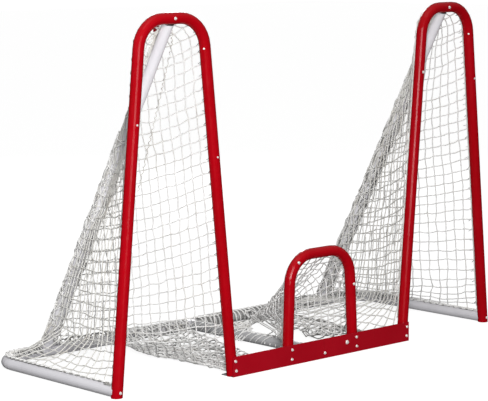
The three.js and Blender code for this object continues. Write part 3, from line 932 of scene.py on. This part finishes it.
def centre_column(place, q, to_gather, to_end):
    """One column of the centre net, from the arch to the gather, over the stringer and down to the floor."""
    if q < LOOSE_SHARE:
        over = from_goal_line(2, 190 + 700 * q, STRINGER_TOP)
        end = from_goal_line(-22, 180 + 650 * q, 10)
        gather = place + (over - place) * 0.7
        gather[2] = 0.3 * place[2] + 26 * MM
    else:
        over = from_goal_line(4, 330 + 190 * q, STRINGER_TOP)
        end = from_goal_line(-27 - 10 * sin(7 * q), 334 + 205 * q, 10)
        spread = 2 * q - 1
        x, y, z = GATHER
        gather = from_goal_line(x + 16 * spread, y - 22 * spread, z + 10 * sin(9 * q))
    column = []
    for share in np.linspace(0, 1, to_gather + 1):
        spot = place + (gather - place) * share
        spot[2] = gather[2] + (place[2] - gather[2]) * (1 - share) ** 1.12
        column.append(spot)
    for share in np.linspace(0, 1, to_end)[1:]:
        spot = gather + (over - gather) * share
        spot[2] -= 5 * MM * sin(pi * share)
        column.append(spot)
    return column + [end]


def build_centre():
    """The net behind the small arch, drawn together right of the stringer and fanning out over it."""
    mesh = CordMesh("centre_net_cords", net_cord)
    to_gather, to_end = 14, 6
    grid = np.array([centre_column(place, q, to_gather, to_end) for place, q in hood_start()])
    loose = grid[:LOOSE_COLUMNS, to_gather:]
    fan = grid[LOOSE_COLUMNS::2, to_gather:].transpose(1, 0, 2)
    hood = wander(grid[:, :to_gather + 1].transpose(1, 0, 2), 2.4 * MM, fixed_first=False)
    add_net(mesh, above_floor(hood, 4 * MM), sag=2 * MM, wobble=1.6 * MM)
    add_net(mesh, wander(fan, 3 * MM), sag=3 * MM, wobble=3 * MM)
    for strand in wander(loose, 3 * MM):
        mesh.add_line(smooth_line(strand, 2))
    mesh.build(["centre_net"])

    shade = CordMesh("centre_net_shade", shade_cord, 1.5 * MM)
    behind_fan = wander(fan.transpose(1, 0, 2) + vec(6, 9, -3) * MM, 4 * MM)
    for row in above_floor(behind_fan, 3 * MM):
        shade.add_line(smooth_line(row, 2))
    shade.build()

    edge = small_outline(90)
    left, rest = edge[:40], edge[39:]
    edging = CordMesh("centre_arch_edge", net_cord, 2.6 * MM)
    edging.add_line(edge + vec(0, 2 * MM, 0))
    edging.add_line(coil(left + vec(6, 0, -1) * MM, 3 * MM, MESH), 1.6 * MM)
    edging.build()
    lacing = CordMesh("centre_arch_lacing", dark_cord, 1.6 * MM)
    lacing.add_line(coil(rest + vec(0, 3.5 * MM, 0), 6 * MM, MESH))
    lacing.build()


# -------------------- lacing
WRAP_REACH = 122  # degrees from the top of the tube to each side


def add_wraps(mesh, start, end, pitch, lean, reach, radius, skew):
    """Turns of cord round a lying tube, each drawn down one side, over the top and down the other.

    lean is how far a turn runs along the tube from side to side, and skew how far its top is set off.
    """
    axis = (end - start) / norm(end - start)
    out = np.cross(axis, vec(0, 0, 1))
    angles = np.radians(np.linspace(-WRAP_REACH, WRAP_REACH, 17))
    for place in np.arange(0, norm(end - start), pitch):
        shift = place + lean * (angles / pi) + rng.normal(0, 0.05 * pitch) + skew * np.cos(angles)
        arc = start + shift[:, None] * axis + reach * (np.sin(angles)[:, None] * out
                                                       + np.cos(angles)[:, None] * vec(0, 0, 1))
        arc += rng.normal(0, 0.35 * MM, arc.shape)
        arc[:, 2] = np.maximum(arc[:, 2], radius + 0.2 * MM)
        mesh.add_line(arc, radius)


# Each run of turns, in mm: the tube, pitch, lean, distance from the tube, radius of the cord and skew.
# The netting's edge in dark cord: partly the real edge, partly painted shade between the white turns.
NET_EDGE_SHADE_WRAPS = (("left", 15, -22, 2.2, 1.8, 0), ("right", 8, -16, 2.4, 2.2, 0))
CORD_WRAPS = (("left", 19, 46, 6, 2.0, 0), ("left", 27, -38, 7, 1.8, 0), ("right", 21, 30, 7, 3.0, 6),
              ("stringer", 33, -70, 2.4, 2.0, 0))


def build_windings():
    """The netting's edge and its cords wound on the back tube, and a cord wound on the stringer; the edge is
    in dark cord, partly painted shade in the gaps between the cords' turns.
    """
    tubes = {"left": (vec(-385 * MM, BACK_Y, TUBE_R), vec(-24 * MM, BACK_Y, TUBE_R)),
             "right": (vec(24 * MM, BACK_Y, TUBE_R), vec(640 * MM, BACK_Y, TUBE_R)),
             "stringer": (vec(0, LEG_Y + 235 * MM, TUBE_R), vec(0, BACK_Y - 30 * MM, TUBE_R))}
    for name, finish, wraps in (("back_tube_net_edge_shade", shade_cord, NET_EDGE_SHADE_WRAPS),
                                ("back_tube_windings", lace_cord, CORD_WRAPS)):
        mesh = CordMesh(name, finish)
        for tube, pitch, lean, off, radius, skew in wraps:
            add_wraps(mesh, *tubes[tube], pitch * MM, lean * MM, TUBE_R + off * MM, radius * MM, skew * MM)
        mesh.build()


def coil(path, radius, pitch, per_turn=11, uneven=0.12):
    """A cord wound loosely round a curved line."""
    count = int(run_along(path)[-1] / pitch * per_turn)
    centres = at_shares(path, np.linspace(0, 1, count + 1))
    tangent = directions(centres)
    across = np.cross(tangent, vec(0.2, 1, 0.1))
    across /= norm(across, axis=1)[:, None]
    other = np.cross(tangent, across)
    angle = 2 * pi * np.arange(count + 1) / per_turn + np.cumsum(rng.normal(0, uneven, count + 1))
    reach = radius * (1 + 0.15 * np.sin(0.31 * angle + 1))
    return centres + reach[:, None] * (np.cos(angle)[:, None] * across + np.sin(angle)[:, None] * other)


def hooked(path, back, pitch):
    """A lacing cord behind a leg that reaches out to catch every mesh of the net."""
    places = at_lengths(path, np.arange(pitch / 2, run_along(path)[-1], pitch))
    line = []
    for place, ahead in zip(places, directions(places)):
        reach, drop = rng.uniform(12, 24) * MM, rng.uniform(2, 13) * MM
        near = place - back * 3 * MM
        line += [near - ahead * 4 * MM, place + back * reach - ahead * drop, near + ahead * 4 * MM]
    return np.array(line)


def build_leg_lacing(side):
    """The cords that lace the nets to the legs, over the bends and along the top."""
    label = SIDE_NAMES[side]
    edges = CordMesh(f"{label}_net_edges", worn_shaded_cord, 2.8 * MM)
    lacing = CordMesh(f"{label}_leg_lacing", dark_cord, 1.3 * MM)
    back = on_arch(side, 0, 1, 0) - on_arch(side, 0, 0, 0)
    for outer, low in ((True, 60 * MM), (False, 80 * MM)):
        path = edge_path(side, outer, low)
        edges.add_line(path + back * 2 * MM)
        if outer == (side > 0):
            lacing.add_line(hooked(path, back, 1.05 * MESH))
        else:
            edges.add_line(coil(path + back * 2 * MM, 3.8 * MM, MESH), 1.6 * MM)
    edges.build()
    lacing.build()


STRUT_NET_LOW = 62 * MM
STRUT_NET_TOP = {-1: 850 * MM, 1: 950 * MM}
# By the distance below its top in mm: the angle where it begins. It ends at a fixed one.
STRUT_NET_START, STRUT_NET_END = [(0, 60), (240, -150)], 205


def add_strut_net(mesh, side, drop, columns, off_tube):
    """Diamond mesh round a strut, one row every drop millimetres, at least off_tube millimetres from it."""
    previous = None
    for i, z in enumerate(np.arange(STRUT_NET_LOW, STRUT_NET_TOP[side], drop * MM)):
        start = table((STRUT_NET_TOP[side] - z) / MM, STRUT_NET_START)
        step = (STRUT_NET_END - start) / columns
        turns = np.radians(start + step * (np.arange(columns) + 0.5 * (i % 2)) + rng.normal(0, 6, columns))
        reach = TUBE_R + (off_tube + rng.uniform(0, 3.5, columns)) * MM
        heights = z + rng.normal(0, 5 * MM, columns)
        row = [on_strut(side, h) + r * vec(side * cos(t), sin(t), 0)
               for t, r, h in zip(turns, reach, heights)]
        if previous is not None:
            for j, place in enumerate(row):
                for k in (j, j + (1 if i % 2 else -1)):
                    if 0 <= k < columns:
                        middle = (place + previous[k]) / 2 + rng.normal(0, 2 * MM, 3)
                        mesh.add_line(smooth_line([place, middle, previous[k]], 2))
                mesh.add_knot(place, vec(0, 0, 1), vec(0.6, 0.4, 0), 3.4 * MM)
        previous = row


def build_strut_net(side):
    """Surplus netting bunched round a strut, and the cord that laces it there."""
    label = SIDE_NAMES[side]
    if side > 0:
        under = CordMesh(f"{label}_strut_net_shade", shade_cord, 2.1 * MM, sides=5)
        add_strut_net(under, side, 31, 8, 3.0)
        under.build()
    mesh = CordMesh(f"{label}_strut_net_cords", lace_cord, 2.5 * MM, sides=5)
    add_strut_net(mesh, side, 38 if side < 0 else 40, 6, 6.5)
    mesh.build()
    lacing = CordMesh(f"{label}_strut_lacing", lace_cord, 2.0 * MM)
    for handed, pitch in ((1, 92 * MM), (-1, 118 * MM)):
        line = []
        for step in np.arange(0, (STRUT_NET_TOP[side] - STRUT_NET_LOW) / pitch, 1 / 18):
            z = STRUT_NET_LOW + step * pitch
            turn = handed * 2 * pi * step
            bare = side < 0 and z < 500 * MM and 205 < degrees(turn) % 360 < 335
            reach = TUBE_R + (2.6 if bare else 10.5) * MM
            line.append(on_strut(side, z) + reach * vec(side * cos(turn), sin(turn), 0))
        lacing.add_line(smooth_line(line, 1))
    lacing.build()


def tube_centres(side):
    """The middle line of the base tube from the outer foot round the corner to the strut."""
    return np.array([vec(side * SIDE_X, LEG_Y + 44 * MM, TUBE_R), *round_corner(side, SIDE_X, BACK_Y, TUBE_R),
                     vec(side * (STRUT_FOOT_X + 24 * MM), BACK_Y, TUBE_R)])


def over_tube(path, pitch, low, high, reach):
    """A cord that swings over a lying tube between two angles, in degrees outward from its top."""
    per_turn = 12
    count = int(run_along(path)[-1] / pitch * per_turn)
    centres = at_shares(path, np.linspace(0, 1, count + 1))
    outward = np.cross(directions(centres), vec(0, 0, 1))
    outward *= np.sign((outward * (centres * (1, 1, 0))).sum(axis=1))[:, None]
    wave = np.sin(2 * pi * np.arange(count + 1) / per_turn + np.cumsum(rng.normal(0, 0.05, count + 1)))
    swing = np.radians((low + high) / 2 + (high - low) / 2 * wave)
    return centres + reach * (np.sin(swing)[:, None] * outward + np.cos(swing)[:, None] * vec(0, 0, 1))


def build_base_lacing(side):
    """The cord that ties the net's lower edge over the top of the base tube, and that edge in dark cord,
    partly painted shade along the tube's top and rear.
    """
    label = SIDE_NAMES[side]
    path = tube_centres(side)
    split = 0.40 if side < 0 else 0.48
    front = at_shares(path, np.linspace(0, split, 30))
    rear = at_shares(path, np.linspace(split, 1, 60))
    # The net's edge over the base tube in dark cord: partly the real edge and its lacing, partly painted
    # shade along the rear of the tube.
    edge = CordMesh(f"{label}_base_edge_shade", shade_cord, 2.0 * MM)
    edge.add_line(over_tube(front, 30 * MM, -24, 2, TUBE_R + 2.4 * MM))
    for angle in range(-78, 12, 19):
        edge.add_line(over_tube(rear, 60 * MM, angle - 3, angle + 3, TUBE_R + 2.4 * MM), 2.1 * MM)
    if side < 0:
        foot = np.array([path[0], path[0] + vec(0, 34 * MM, 0)])
        edge.add_line(over_tube(foot, 8 * MM, -60, 30, TUBE_R + 3 * MM), 2.4 * MM)
    edge.build()
    wraps = CordMesh(f"{label}_base_lacing", lace_cord, 2.1 * MM)
    wraps.add_line(over_tube(rear, 24 * MM, -86, 14, TUBE_R + 6.6 * MM))
    wraps.add_line(over_tube(front, 38 * MM, -30, 4, TUBE_R + 4.6 * MM))
    wraps.add_line(base_path(side) + vec(0, 0, 3.5 * MM), 2.6 * MM)
    wraps.build()


def build_back_edge(side):
    """Netting bunched along the back tube between the fold and the strut, in dark cord: partly the real
    bunched edge, partly painted shade along the tube's top.
    """
    mesh = CordMesh(f"{SIDE_NAMES[side]}_back_edge_cords", shade_cord, 1.9 * MM)
    z = 2 * TUBE_R + 8 * MM
    path = np.array([vec(side * x * MM, BACK_Y - 6 * MM, z) for x in np.linspace(392, 660, 14)])
    for pitch, radius in ((19, 6.5), (26, 8.0)):
        mesh.add_line(coil(path, radius * MM, pitch * MM, uneven=0.35))
    mesh.build()


for goal_side in (-1, 1):
    build_side(goal_side)
    build_floor(goal_side)
    build_leg_lacing(goal_side)
    build_strut_net(goal_side)
    build_base_lacing(goal_side)
    build_back_edge(goal_side)
build_centre()
build_windings()
